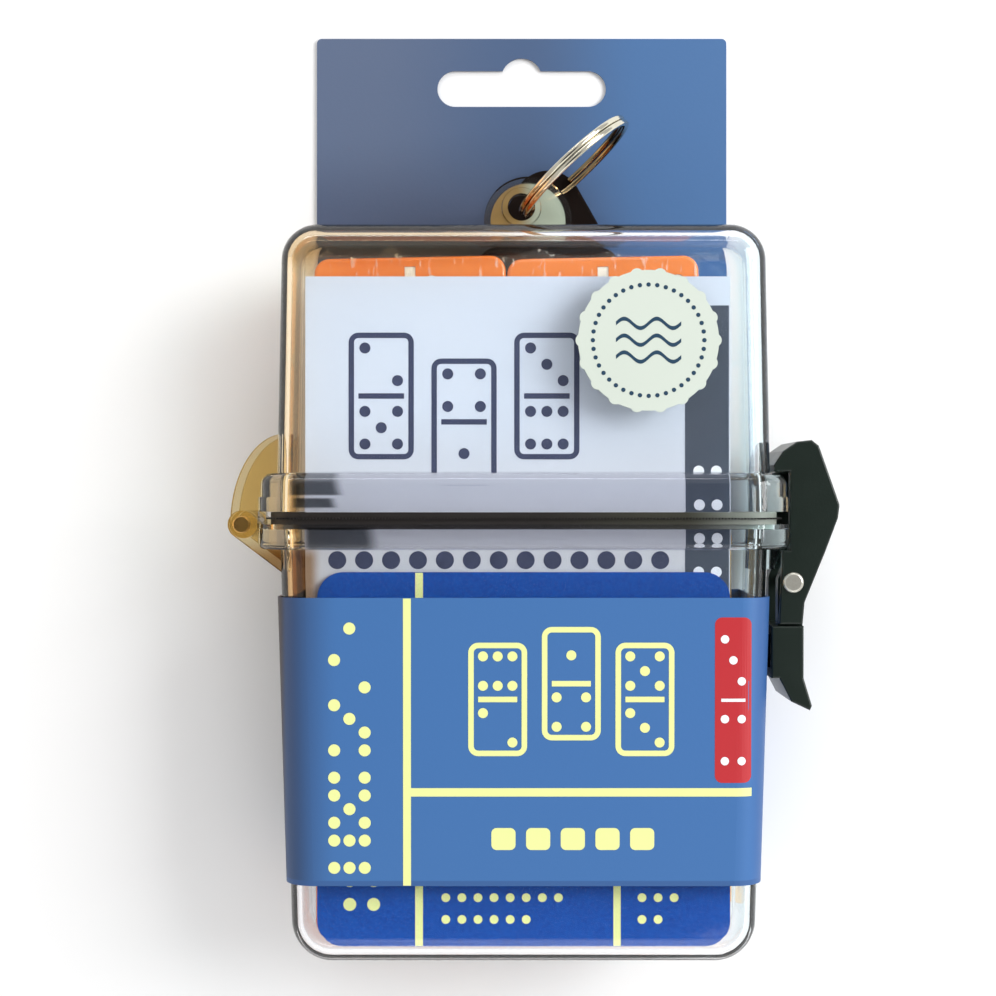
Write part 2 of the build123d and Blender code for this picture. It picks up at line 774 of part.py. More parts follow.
# The rules card stands in the body, in front of the pad
rules_back = pad_back + pad_t + gap
rules_w = inner_w - 2 * rules_side_gap
rules_foot = inner_foot + rules_foot_gap
with BuildPart() as rules_card:
    with BuildSketch(Plane.XY.offset(rules_back)):
        with Locations((0, (rules_foot - rules_head) / 2)):
            RectangleRounded(rules_w, -rules_head - rules_foot, rules_corner_r)
    extrude(amount=rules_t)
finish(rules_card.part, "rules_card")

# The pencil stands beside the tiles, point up, clear of the body's rounded foot corner
pencil_x = tile_left + tiles_w + pencil_room + pencil_d / 2
pencil_z = mid_z - inner_d / 2 + gap + pencil_d / 2
pencil_foot = inner_foot + body_corner_r - wall
pencil_plane = Plane(origin=(pencil_x, pencil_foot, pencil_z), x_dir=(1, 0, 0), z_dir=(0, 0, 1))
pencil_axis = Axis((pencil_x, pencil_foot, pencil_z), (0, 1, 0))
cone_foot = pencil_len - pencil_point_len
cone_top = pencil_len - lead_show - lead_point_len
with BuildPart() as pencil_barrel:
    with BuildSketch(pencil_plane):
        with BuildLine():
            Polyline(
                (lead_d / 2 + press_gap, 0),
                (pencil_d / 2, 0),
                (pencil_d / 2, cone_foot),
                (lead_d / 2 + 0.3, cone_top),
                (lead_d / 2 + press_gap, cone_top),
                close=True,
            )
        make_face()
    revolve(axis=pencil_axis)
finish(pencil_barrel.part, "pencil_barrel")

with BuildPart() as pencil_lead:
    with BuildSketch(pencil_plane):
        with BuildLine():
            Polyline(
                (0, 0),
                (lead_d / 2, 0),
                (lead_d / 2, pencil_len - lead_point_len),
                (0.2, pencil_len),
                (0, pencil_len),
                close=True,
            )
        make_face()
    revolve(axis=pencil_axis)
finish(pencil_lead.part, "pencil_lead")
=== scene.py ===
import json
import math

import bmesh
import bpy
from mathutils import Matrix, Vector
from mathutils.bvhtree import BVHTree


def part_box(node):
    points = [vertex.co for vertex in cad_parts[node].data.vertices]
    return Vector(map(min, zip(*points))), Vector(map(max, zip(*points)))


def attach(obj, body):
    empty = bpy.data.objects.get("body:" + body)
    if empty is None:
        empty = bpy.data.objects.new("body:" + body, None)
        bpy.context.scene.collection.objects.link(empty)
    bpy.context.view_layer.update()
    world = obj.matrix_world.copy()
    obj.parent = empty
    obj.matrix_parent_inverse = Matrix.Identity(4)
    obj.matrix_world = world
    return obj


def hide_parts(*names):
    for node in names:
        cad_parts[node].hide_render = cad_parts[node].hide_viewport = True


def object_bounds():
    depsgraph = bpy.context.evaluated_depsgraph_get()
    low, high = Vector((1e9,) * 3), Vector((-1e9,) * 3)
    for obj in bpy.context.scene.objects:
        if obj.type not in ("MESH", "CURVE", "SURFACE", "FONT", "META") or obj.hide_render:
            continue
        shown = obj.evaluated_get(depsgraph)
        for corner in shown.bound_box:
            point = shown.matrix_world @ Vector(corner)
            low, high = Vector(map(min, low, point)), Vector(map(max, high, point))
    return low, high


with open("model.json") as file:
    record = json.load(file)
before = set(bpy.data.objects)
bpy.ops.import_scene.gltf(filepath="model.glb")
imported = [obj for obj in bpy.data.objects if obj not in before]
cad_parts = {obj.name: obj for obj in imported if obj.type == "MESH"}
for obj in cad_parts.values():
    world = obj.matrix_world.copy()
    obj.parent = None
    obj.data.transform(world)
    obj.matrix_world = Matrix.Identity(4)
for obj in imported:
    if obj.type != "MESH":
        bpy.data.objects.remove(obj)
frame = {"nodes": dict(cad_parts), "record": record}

nodes = frame["nodes"]
cad_low, cad_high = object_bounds()
mm = 0.001


# The clear case comes first. It is moulded in two halves from clear styrene, so its skin is
# glossy, with a faint waviness from the mould. Everything else on the set is moulded, printed
# or rolled too, and gets its uneven gloss and fine relief from the same shader group.
def make_skin_group():
    """A surface's uneven gloss, fine relief and slow change of colour."""
    group = bpy.data.node_groups.new("skin", "ShaderNodeTree")
    sockets = (
        ("Colour", "NodeSocketColor", (0.5, 0.5, 0.5, 1)),
        ("Second colour", "NodeSocketColor", (0.5, 0.5, 0.5, 1)),
        ("Patch mm", "NodeSocketFloat", 20.0),
        ("Gloss", "NodeSocketFloat", 0.4),
        ("Gloss spread", "NodeSocketFloat", 0.05),
        ("Grain mm", "NodeSocketFloat", 0.5),
        ("Depth mm", "NodeSocketFloat", 0.02),
    )
    for name, kind, value in sockets:
        group.interface.new_socket(name=name, in_out="INPUT", socket_type=kind).default_value = value
    group.interface.new_socket(name="Colour", in_out="OUTPUT", socket_type="NodeSocketColor")
    group.interface.new_socket(name="Roughness", in_out="OUTPUT", socket_type="NodeSocketFloat")
    group.interface.new_socket(name="Normal", in_out="OUTPUT", socket_type="NodeSocketVector")
    add = group.nodes.new
    link = group.links.new
    given = add("NodeGroupInput")
    result = add("NodeGroupOutput")
    place = add("ShaderNodeTexCoord")
    patch_detail = 3
    grain_detail = 4
    middle_of_noise = 0.5

    def noise_of(size_name, detail):
        """Noise whose features have the size in millimetres that the named input gives."""
        per_metre = add("ShaderNodeMath")
        per_metre.operation = "DIVIDE"
        per_metre.inputs[0].default_value = 1 / mm
        noise = add("ShaderNodeTexNoise")
        noise.inputs["Detail"].default_value = detail
        link(given.outputs[size_name], per_metre.inputs[1])
        link(per_metre.outputs[0], noise.inputs["Scale"])
        link(place.outputs["Object"], noise.inputs["Vector"])
        return noise.outputs["Fac"]

    patches = noise_of("Patch mm", patch_detail)
    grain = noise_of("Grain mm", grain_detail)
    colours = add("ShaderNodeMix")
    colours.data_type = "RGBA"
    link(patches, colours.inputs["Factor"])
    link(given.outputs["Colour"], colours.inputs["A"])
    link(given.outputs["Second colour"], colours.inputs["B"])
    link(colours.outputs["Result"], result.inputs["Colour"])
    swing = add("ShaderNodeMath")
    swing.operation = "SUBTRACT"
    swing.inputs[1].default_value = middle_of_noise
    link(patches, swing.inputs[0])
    gloss = add("ShaderNodeMath")
    gloss.operation = "MULTIPLY_ADD"
    link(swing.outputs[0], gloss.inputs[0])
    link(given.outputs["Gloss spread"], gloss.inputs[1])
    link(given.outputs["Gloss"], gloss.inputs[2])
    link(gloss.outputs[0], result.inputs["Roughness"])
    depth = add("ShaderNodeMath")
    depth.operation = "MULTIPLY"
    depth.inputs[1].default_value = mm
    link(given.outputs["Depth mm"], depth.inputs[0])
    relief = add("ShaderNodeBump")
    link(grain, relief.inputs["Height"])
    link(depth.outputs[0], relief.inputs["Distance"])
    link(relief.outputs["Normal"], result.inputs["Normal"])
    return group


skin_group = make_skin_group()


def paint(code):
    """A colour given as it looks on a screen, in the form that shaders take."""
    parts = [int(code[i:i + 2], 16) / 255 for i in (1, 3, 5)]
    return (*[p / 12.92 if p <= 0.04045 else ((p + 0.055) / 1.055) ** 2.4 for p in parts], 1)


def finish(name, colour, second, patch, gloss, spread, grain, depth, **more):
    """A material with the skin group's two colours in patches, uneven gloss and fine relief.

    The patches, the grain and its depth are in millimetres. The rest is set on the shader's own
    sockets.
    """
    material = bpy.data.materials.new(name)
    material.use_nodes = True
    tree = material.node_tree
    shader = tree.nodes["Principled BSDF"]
    skin = tree.nodes.new("ShaderNodeGroup")
    skin.node_tree = skin_group
    values = (
        ("Colour", paint(colour)),
        ("Second colour", paint(second)),
        ("Patch mm", patch),
        ("Gloss", gloss),
        ("Gloss spread", spread),
        ("Grain mm", grain),
        ("Depth mm", depth),
    )
    for socket, value in values:
        skin.inputs[socket].default_value = value
    tree.links.new(skin.outputs["Colour"], shader.inputs["Base Color"])
    tree.links.new(skin.outputs["Roughness"], shader.inputs["Roughness"])
    tree.links.new(skin.outputs["Normal"], shader.inputs["Normal"])
    for socket, value in more.items():
        shader.inputs[socket.replace("_", " ")].default_value = value
    return material


def make_tone_group():
    """A slow change of colour from one place to another, which other tones can bound."""
    group = bpy.data.node_groups.new("tone", "ShaderNodeTree")
    sockets = (
        ("Colour", "NodeSocketColor", (0.5, 0.5, 0.5, 1)),
        ("Other colour", "NodeSocketColor", (0.5, 0.5, 0.5, 1)),
        ("Start", "NodeSocketVector", (0, 0, 0)),
        ("End", "NodeSocketVector", (1, 0, 0)),
        ("Strength", "NodeSocketFloat", 1.0),
        ("Within", "NodeSocketFloat", 1.0),
    )
    for name, kind, value in sockets:
        group.interface.new_socket(name=name, in_out="INPUT", socket_type=kind).default_value = value
    group.interface.new_socket(name="Colour", in_out="OUTPUT", socket_type="NodeSocketColor")
    group.interface.new_socket(name="Factor", in_out="OUTPUT", socket_type="NodeSocketFloat")
    link = group.links.new
    given = group.nodes.new("NodeGroupInput")
    result = group.nodes.new("NodeGroupOutput")
    place = group.nodes.new("ShaderNodeTexCoord")

    def combine(kind, operation, first, second, gives="Value"):
        """What a math node makes of two values."""
        node = group.nodes.new(kind)
        node.operation = operation
        link(first, node.inputs[0])
        link(second, node.inputs[1])
        return node.outputs[gives]

    vector, number = "ShaderNodeVectorMath", "ShaderNodeMath"
    way = combine(vector, "SUBTRACT", given.outputs["End"], given.outputs["Start"], "Vector")
    here = combine(vector, "SUBTRACT", place.outputs["Object"], given.outputs["Start"], "Vector")
    along = combine(vector, "DOT_PRODUCT", here, way)
    whole = combine(vector, "DOT_PRODUCT", way, way)
    share = combine(number, "DIVIDE", along, whole)
    smooth = group.nodes.new("ShaderNodeMapRange")
    smooth.interpolation_type = "SMOOTHSTEP"
    link(share, smooth.inputs["Value"])
    factor = combine(number, "MULTIPLY", smooth.outputs["Result"], given.outputs["Within"])
    mixed = combine(number, "MULTIPLY", factor, given.outputs["Strength"])
    colours = group.nodes.new("ShaderNodeMix")
    colours.data_type = "RGBA"
    link(mixed, colours.inputs["Factor"])
    link(given.outputs["Colour"], colours.inputs["A"])
    link(given.outputs["Other colour"], colours.inputs["B"])
    link(colours.outputs["Result"], result.inputs["Colour"])
    link(factor, result.inputs["Factor"])
    return group


tone_group = make_tone_group()


def tone(material, colour, start, end, strength=1.0, within=None):
    """Change a material's colour from one place to another, given in millimetres."""
    tree = material.node_tree
    shader = tree.nodes["Principled BSDF"]
    step = tree.nodes.new("ShaderNodeGroup")
    step.node_tree = tone_group
    step.inputs["Other colour"].default_value = paint(colour)
    step.inputs["Start"].default_value = [v * mm for v in start]
    step.inputs["End"].default_value = [v * mm for v in end]
    step.inputs["Strength"].default_value = strength
    if within:
        tree.links.new(within.outputs["Factor"], step.inputs["Within"])
    tree.links.new(shader.inputs["Base Color"].links[0].from_socket, step.inputs["Colour"])
    tree.links.new(step.outputs["Colour"], shader.inputs["Base Color"])
    return step


def bound(material, start, end, within=None):
    """A stretch that other tones are kept within, with no colour of its own."""
    return tone(material, "#808080", start, end, 0.0, within)


def let_light_through(material, tint):
    """Clear plastic throws only a faint shadow, so shadow rays pass it with a slight tint."""
    tree = material.node_tree
    shader = tree.nodes["Principled BSDF"]
    rays = tree.nodes.new("ShaderNodeLightPath")
    clear = tree.nodes.new("ShaderNodeBsdfTransparent")
    clear.inputs["Color"].default_value = paint(tint)
    either = tree.nodes.new("ShaderNodeMixShader")
    tree.links.new(rays.outputs["Is Shadow Ray"], either.inputs["Fac"])
    tree.links.new(shader.outputs["BSDF"], either.inputs[1])
    tree.links.new(clear.outputs["BSDF"], either.inputs[2])
    tree.links.new(either.outputs["Shader"], tree.nodes["Material Output"].inputs["Surface"])


def dress(material, *names):
    """Give CAD nodes their material."""
    for name in names:
        nodes[name].data.materials.clear()
        nodes[name].data.materials.append(material)


clear_styrene = finish(
    "clear_styrene", "#fdfdfe", "#f9fafc", 60, 0.03, 0.02, 9, 0.012,
    Transmission_Weight=0.997, IOR=1.47
)
# The two rims are thicker, so they look a little greyer; that grey is painted shade in their colour
under_rim_top = bound(clear_styrene, (0, 9.0, 0), (0, 8.4, 0))
rims = bound(clear_styrene, (0, -6.4, 0), (0, -5.9, 0), under_rim_top)
tone(clear_styrene, "#d9d9e2", (-46.5, 0, 0), (-41, 0, 0), 0.85, rims)
# Painted reflection: the left wall and the hinge carry an amber cast above the foot, and the right wall a
# cool one
above_foot = bound(clear_styrene, (0, -68, 0), (0, -45, 0))
tone(clear_styrene, "#f6e6cc", (-42.0, 0, 0), (-43.2, 0, 0), 1.0, above_foot)
tone(clear_styrene, "#f7e4b4", (-45, 0, 0), (-50, 0, 0), 1.0, above_foot)
# Painted shade: a brown band down the body's left side, below the rims
below_rims = bound(clear_styrene, (0, -4, 0), (0, -8, 0), above_foot)
tone(clear_styrene, "#b98a4c", (-38.5, 0, 0), (-41, 0, 0), 0.8, below_rims)
# Painted reflection: a cool blue-white cast on the right wall
tone(clear_styrene, "#e2f4f6", (38, 0, 0), (49, 0, 0))
# Painted reflection: the lid's front above the tiles carries an amber cast, strongest towards the left
near_roof = bound(clear_styrene, (0, 47, 0), (0, 51, 0))
tone(clear_styrene, "#dcc194", (8, 0, 0), (-14, 0, 0), 0.8, near_roof)
# The rims' thick fronts show three dark painted reflections near the hinge; each band gives its foot, top,
# left and right ends
in_front = bound(clear_styrene, (0, 0, 30), (0, 0, 32))
painted_reflection_bands = ((4.3, 7.0, -45.0, -34.2), (1.9, 3.7, -44.2, -35.0), (-5.7, -1.9, -42.0, -27.6))
fade_out, fade_in = 0.2, 0.3
left_fade, right_fade = 1.5, 1.2
slant_share = 0.25
slant_drop = 0.7
for foot_y, top_y, left_x, right_x in painted_reflection_bands:
    over_foot = bound(clear_styrene, (0, foot_y - fade_out, 0), (0, foot_y + fade_in, 0), in_front)
    in_band = bound(clear_styrene, (0, top_y + fade_in, 0), (0, top_y - fade_out, 0), over_foot)
    past_corner = bound(clear_styrene, (left_x, 0, 0), (left_x + left_fade, 0, 0), in_band)
    slant = (top_y - foot_y) * slant_share
    end_low = (right_x + slant, foot_y, 0)
    end_far = (right_x - right_fade - slant, foot_y - slant_drop, 0)
    tone(clear_styrene, "#3d424b", end_low, end_far, 0.9, past_corner)
let_light_through(clear_styrene, "#eef2f2")
dress(clear_styrene, "case_body", "case_lid")


# The seal is a black rubber ring in a groove of the body's rim. Its outer edge has fine
# moulded ribs, which show as ticks through the clear rims.
seal_rubber = finish("seal_rubber", "#140903", "#100702", 8, 0.5, 0.1, 0.4, 0.03)
# Painted reflection: the black seal lightens towards the right
tone(seal_rubber, "#2c2a1c", (0, 0, 0), (28, 0, 0))
tone(seal_rubber, "#8a8f86", (30, 0, 0), (47, 0, 0))
dress(seal_rubber, "seal_gasket")
rib_rubber = finish("rib_rubber", "#0e0a07", "#120d09", 8, 0.5, 0.1, 0.4, 0.03)
seal_low, seal_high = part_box("seal_gasket")
rib_pitch = 0.62 * mm
rib_size = (0.3 * mm, 1.7 * mm, 0.24 * mm)
rib_above_middle = 0.4 * mm
seal_corner = 5.0 * mm
corner_steps = 12


def settle(piece):
    """Make what the modifiers give the piece's own mesh."""
    graph = bpy.context.evaluated_depsgraph_get()
    made = bpy.data.meshes.new_from_object(piece.evaluated_get(graph))
    piece.modifiers.clear()
    piece.data = made
    return piece


def new_piece(name, mesh):
    """An object for a mesh, at the origin."""
    piece = bpy.data.objects.new(name, mesh)
    bpy.context.scene.collection.objects.link(piece)
    return piece


def feed(modifier, **values):
    """Set a Geometry Nodes modifier's inputs by the names that its tree gives them."""
    for item in modifier.node_group.interface.items_tree:
        key = item.name.replace(" ", "_")
        if item.in_out == "INPUT" and key in values:
            modifier[item.identifier] = values[key]


def start_geometry_tree(name, inputs):
    """A Geometry Nodes tree with a geometry in and out and the named inputs."""
    tree = bpy.data.node_groups.new(name, "GeometryNodeTree")
    tree.interface.new_socket(name="Geometry", in_out="INPUT", socket_type="NodeSocketGeometry")
    for label, kind in inputs:
        tree.interface.new_socket(name=label, in_out="INPUT", socket_type=kind)
    tree.interface.new_socket(name="Geometry", in_out="OUTPUT", socket_type="NodeSocketGeometry")
    return tree, tree.nodes.new("NodeGroupInput"), tree.nodes.new("NodeGroupOutput")


def make_rib_tree():
    """Small bars stood at an even pitch along a path, each turned to the path."""
    tree, given, result = start_geometry_tree(
        "seal_ribs",
        (("Pitch", "NodeSocketFloat"), ("Rib size", "NodeSocketVector"), ("Finish", "NodeSocketMaterial")),
    )
    link = tree.links.new
    path = tree.nodes.new("GeometryNodeMeshToCurve")
    points = tree.nodes.new("GeometryNodeCurveToPoints")
    points.mode = "LENGTH"
    rib = tree.nodes.new("GeometryNodeMeshCube")
    stand = tree.nodes.new("GeometryNodeInstanceOnPoints")
    real = tree.nodes.new("GeometryNodeRealizeInstances")
    coat = tree.nodes.new("GeometryNodeSetMaterial")
    link(given.outputs["Geometry"], path.inputs["Mesh"])
    link(path.outputs["Curve"], points.inputs["Curve"])
    link(given.outputs["Pitch"], points.inputs["Length"])
    link(given.outputs["Rib size"], rib.inputs["Size"])
    link(points.outputs["Points"], stand.inputs["Points"])
    link(rib.outputs["Mesh"], stand.inputs["Instance"])
    link(points.outputs["Rotation"], stand.inputs["Rotation"])
    link(stand.outputs["Instances"], real.inputs["Geometry"])
    link(real.outputs["Geometry"], coat.inputs["Geometry"])
    link(given.outputs["Finish"], coat.inputs["Material"])
    link(coat.outputs["Geometry"], result.inputs["Geometry"])
    return tree


def rounded_loop(low_x, low_y, high_x, high_y, radius, steps=8):
    """The outline of a rectangle with rounded corners, as points that run anticlockwise."""
    loop = []
    corners = (
        (high_x - radius, low_y + radius, -90),
        (high_x - radius, high_y - radius, 0),
        (low_x + radius, high_y - radius, 90),
        (low_x + radius, low_y + radius, 180),
    )
    for x, y, start in corners:
        for step in range(steps + 1):
            angle = math.radians(start + 90 * step / steps)
            loop.append((x + radius * math.cos(angle), y + radius * math.sin(angle)))
    return loop


rib_line = rounded_loop(seal_low.x, seal_low.z, seal_high.x, seal_high.z, seal_corner, corner_steps)
rib_y = (seal_low.y + seal_high.y) / 2 + rib_above_middle
rib_path = bpy.data.meshes.new("rib_path")
rib_path.from_pydata(
    [(x, rib_y, z) for x, z in rib_line],
    [(i, (i + 1) % len(rib_line)) for i in range(len(rib_line))],
    [],
)
seal_ribs = new_piece("seal_ribs", rib_path)
stand_ribs = seal_ribs.modifiers.new("ribs", "NODES")
stand_ribs.node_group = make_rib_tree()
feed(stand_ribs, Pitch=rib_pitch, Rib_size=rib_size, Finish=rib_rubber)
settle(seal_ribs)
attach(seal_ribs, "case")


# The hinge pin runs through the body's ears and the lid's webs, and the latch's pin through the
# lug on the other side. Both are drawn steel rod; the hinge's end is painted brassy, for the warm
# reflection that it shows through the web.
drawn_steel = finish("drawn_steel", "#b9b4ab", "#8f8a82", 3, 0.28, 0.15, 0.3, 0.01, Metallic=1.0)
tone(drawn_steel, "#c79a55", (0, 0, 0), (-50, 0, 0))
dress(drawn_steel, "hinge_pin", "lever_pin")


# The tiles are moulded in glossy orange resin. Their pips and middle bars are sunk and
# filled with white enamel, which lies a little below the face.
tile_resin = finish("tile_resin", "#e17228", "#e98334", 14, 0.22, 0.1, 0.7, 0.01, Coat_Weight=0.4)
white_enamel = finish("white_enamel", "#efe9dc", "#e2d9c8", 4, 0.3, 0.1, 0.4, 0.02)
tile_names = sorted(name for name in nodes if name.startswith("tile_"))
dress(tile_resin, *tile_names)
tile_size = (37.5 * mm, 18.7 * mm)
pip_radius = 1.26 * mm
pip_sunk = 0.4 * mm
enamel_thick = 0.2 * mm
pip_step = (5.2 * mm, 4.4 * mm)
pip_sides = 28
bar_size = (2.12 * mm, 14.8 * mm)
pip_places = {
    0: (),
    1: ((0, 0),),
    2: ((-1, 1), (1, -1)),
    3: ((-1, 1), (0, 0), (1, -1)),
    4: ((-1, 1), (1, 1), (-1, -1), (1, -1)),
    5: ((-1, 1), (1, 1), (0, 0), (-1, -1), (1, -1)),
    6: ((-1, 1), (0, 1), (1, 1), (-1, -1), (0, -1), (1, -1)),
}


def make_pip_tree():
    """Flat round pips set on the points of a mesh."""
    tree, given, result = start_geometry_tree(
        "pip_filling",
        (("Radius", "NodeSocketFloat"), ("Thickness", "NodeSocketFloat"), ("Finish", "NodeSocketMaterial")),
    )
    link = tree.links.new
    points = tree.nodes.new("GeometryNodeMeshToPoints")
    pip = tree.nodes.new("GeometryNodeMeshCylinder")
    pip.inputs["Vertices"].default_value = pip_sides
    stand = tree.nodes.new("GeometryNodeInstanceOnPoints")
    real = tree.nodes.new("GeometryNodeRealizeInstances")
    coat = tree.nodes.new("GeometryNodeSetMaterial")
    link(given.outputs["Geometry"], points.inputs["Mesh"])
    link(given.outputs["Radius"], pip.inputs["Radius"])
    link(given.outputs["Thickness"], pip.inputs["Depth"])
    link(points.outputs["Points"], stand.inputs["Points"])
    link(pip.outputs["Mesh"], stand.inputs["Instance"])
    link(stand.outputs["Instances"], real.inputs["Geometry"])
    link(real.outputs["Geometry"], coat.inputs["Geometry"])
    link(given.outputs["Finish"], coat.inputs["Material"])
    link(coat.outputs["Geometry"], result.inputs["Geometry"])
    return tree


pip_tree = make_pip_tree()


def set_pips(name, spots, radius, thickness, material):
    """Pips on the given spots, as one piece."""
    mesh = bpy.data.meshes.new(name)
    mesh.from_pydata(spots, [], [])
    piece = new_piece(name, mesh)
    setter = piece.modifiers.new("pips", "NODES")
    setter.node_group = pip_tree
    feed(setter, Radius=radius, Thickness=thickness, Finish=material)
    return settle(piece)


def tile_turn(name):
    """A tile's middle, and how far it leans in its bed."""
    low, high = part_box(name)
    middle = (low + high) / 2
    rise = (high.y - low.y) - tile_size[1]
    return Vector((middle.x, middle.y, high.z)), math.asin(max(rise, 0) / tile_size[0])


def on_tile(middle, turn, x, y, z):
    """A place on a tile's face, from its middle."""
    return (
        middle.x + x * math.cos(turn) - y * math.sin(turn),
        middle.y + x * math.sin(turn) + y * math.cos(turn),
        middle.z + z,
    )


def solid_from(name, outlines, material):
    """Prisms made from pairs of an outline's lower and upper points."""
    work = bmesh.new()
    for lower, upper in outlines:
        bottom = [work.verts.new(p) for p in lower]
        top = [work.verts.new(p) for p in upper]
        work.faces.new(list(reversed(bottom)))
        work.faces.new(top)
        for i in range(len(bottom)):
            j = (i + 1) % len(bottom)
            work.faces.new((bottom[i], bottom[j], top[j], top[i]))
    mesh = bpy.data.meshes.new(name)
    work.to_mesh(mesh)
    work.free()
    mesh.materials.append(material)
    return new_piece(name, mesh)


half_w, half_h = bar_size[0] / 2, bar_size[1] / 2
bar_corners = ((-half_w, -half_h), (half_w, -half_h), (half_w, half_h), (-half_w, half_h))
for body in ("case", "lid"):
    spots = []
    bars = []
    for name in tile_names:
        if name not in frame["record"]["behaviour"]["bodies"][body]:
            continue
        middle, turn = tile_turn(name)
        halves = [int(part) for part in name.split("_")[1:]]
        for side, count in zip((-1, 1), halves):
            for column, row in pip_places[count]:
                x = side * tile_size[0] / 4 + column * pip_step[0]
                spots.append(on_tile(middle, turn, x, row * pip_step[1], enamel_thick / 2 - pip_sunk))
        levels = (-pip_sunk, enamel_thick - pip_sunk)
        bars.append([[on_tile(middle, turn, x, y, z) for x, y in bar_corners] for z in levels])
    pips = set_pips(f"{body}_tile_pips", spots, pip_radius, enamel_thick, white_enamel)
    bar_piece = solid_from(f"{body}_tile_bars", bars, white_enamel)
    for piece in (pips, bar_piece):
        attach(piece, body)


# The score pad is a block of white sheets on a grey board, under a printed paper cover.
# The block's edges show the sheets as fine lines.
wave_rate = 20


def add_leaves(material, leaf_mm, depth_mm):
    """Fine lines across a paper block's edges, laid on top of its grain.

    Blender's wave multiplies a place by its scale and by wave_rate before it takes the sine.
    """
    tree = material.node_tree
    shader = tree.nodes["Principled BSDF"]
    before = shader.inputs["Normal"].links[0].from_socket
    place = tree.nodes.new("ShaderNodeTexCoord")
    lines = tree.nodes.new("ShaderNodeTexWave")
    lines.bands_direction = "Z"
    lines.inputs["Scale"].default_value = 1 / (wave_rate * leaf_mm * mm)
    lines.inputs["Distortion"].default_value = 1.5
    relief = tree.nodes.new("ShaderNodeBump")
    relief.inputs["Distance"].default_value = depth_mm * mm
    tree.links.new(place.outputs["Object"], lines.inputs["Vector"])
    tree.links.new(lines.outputs["Fac"], relief.inputs["Height"])
    tree.links.new(before, relief.inputs["Normal"])
    tree.links.new(relief.outputs["Normal"], shader.inputs["Normal"])


grey_board = finish("grey_board", "#8c867b", "#7d776c", 2, 0.85, 0.05, 0.3, 0.05)
pad_paper = finish("pad_paper", "#f2f0ea", "#eae7df", 12, 0.75, 0.05, 0.2, 0.02)
add_leaves(pad_paper, 0.15, 0.05)
cover_paper = finish("cover_paper", "#cad1dd", "#c2cad8", 35, 0.55, 0.1, 3, 0.05)
# Painted shade: the cover greys towards its lower part
tone(cover_paper, "#c9cad0", (0, 22, 0), (0, -4, 0))
dress(grey_board, "pad_board")
dress(pad_paper, "pad_sheets")
dress(cover_paper, "pad_cover")


# The cover is printed in navy with three upright tiles, a row of dots and a dark strip with white
# pips. Like all print on the set it is a thin layer of ink that lies on what carries it.
def level_on(name):
    """The height of a CAD node's upper surface at any place."""
    mesh = nodes[name].data
    surface = BVHTree.FromPolygons([v.co for v in mesh.vertices], [p.vertices for p in mesh.polygons])
    above = cad_high.z + 10 * mm

    def level(x, y):
        return surface.ray_cast(Vector((x, y, above)), Vector((0, 0, -1)))[0].z

    return level


ink_lift = 0.04 * mm
second_ink_lift = 0.08 * mm
bar_inset_lines = 1.8
printed_pip_share = 0.085


def dot(x, y, radius, sides=32):
    """A solid printed dot, in millimetres."""
    turns = [2 * math.pi * i / sides for i in range(sides)]
    return [(x + radius * math.cos(turn), y + radius * math.sin(turn)) for turn in turns], None


def bar(low_x, low_y, high_x, high_y, radius=0.02):
    """A solid printed bar, in millimetres."""
    return rounded_loop(low_x, low_y, high_x, high_y, radius), None


def frame_line(low_x, low_y, high_x, high_y, radius, line):
    """A printed rounded frame whose line has the given width, in millimetres."""
    outer = rounded_loop(low_x, low_y, high_x, high_y, radius)
    inner = rounded_loop(low_x + line, low_y + line, high_x - line, high_y - line, radius - line)
    return outer, inner


def domino(x, y, width, height, line, upper, lower, radius=1.9):
    """A printed upright domino: a frame, a middle line, and solid pips."""
    bar_reach = width / 2 - line * bar_inset_lines
    shapes = [
        frame_line(x - width / 2, y - height / 2, x + width / 2, y + height / 2, radius, line),
        bar(x - bar_reach, y - line / 2, x + bar_reach, y + line / 2),
    ]
    step = width / 4
    for centre, count in ((y + height / 4, upper), (y - height / 4, lower)):
        for column, row in pip_places[count]:
            shapes.append(dot(x + column * step, centre + row * step, width * printed_pip_share))
    return shapes


# Long shapes are cut into narrow strips past this place, where the sleeve's front folds over
fold_start = 38 * mm
fold_step = 0.5 * mm
cuts_past_fold = 14


def print_on(name, carrier, shapes, material, body, lift=ink_lift):
    """Ink lying on a carrier's upper surface; the shapes are in millimetres."""
    level = level_on(carrier)
    work = bmesh.new()
    for outer, inner in shapes:
        rim = [work.verts.new((x * mm, y * mm, 0)) for x, y in outer]
        if inner is None:
            work.faces.new(rim)
            continue
        hole = [work.verts.new((x * mm, y * mm, 0)) for x, y in inner]
        for i in range(len(rim)):
            j = (i + 1) % len(rim)
            work.faces.new((rim[i], rim[j], hole[j], hole[i]))
    bmesh.ops.triangulate(work, faces=[f for f in work.faces if len(f.verts) > 4])
    for cut in range(cuts_past_fold):
        for side in (-1, 1):
            bmesh.ops.bisect_plane(
                work,
                geom=work.verts[:] + work.edges[:] + work.faces[:],
                plane_co=(side * (fold_start + cut * fold_step), 0, 0),
                plane_no=(1, 0, 0),
            )
    for vert in work.verts:
        vert.co.z = level(vert.co.x, vert.co.y) + lift
    mesh = bpy.data.meshes.new(name)
    work.to_mesh(mesh)
    work.free()
    mesh.materials.append(material)
    piece = new_piece(name, mesh)
    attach(piece, body)


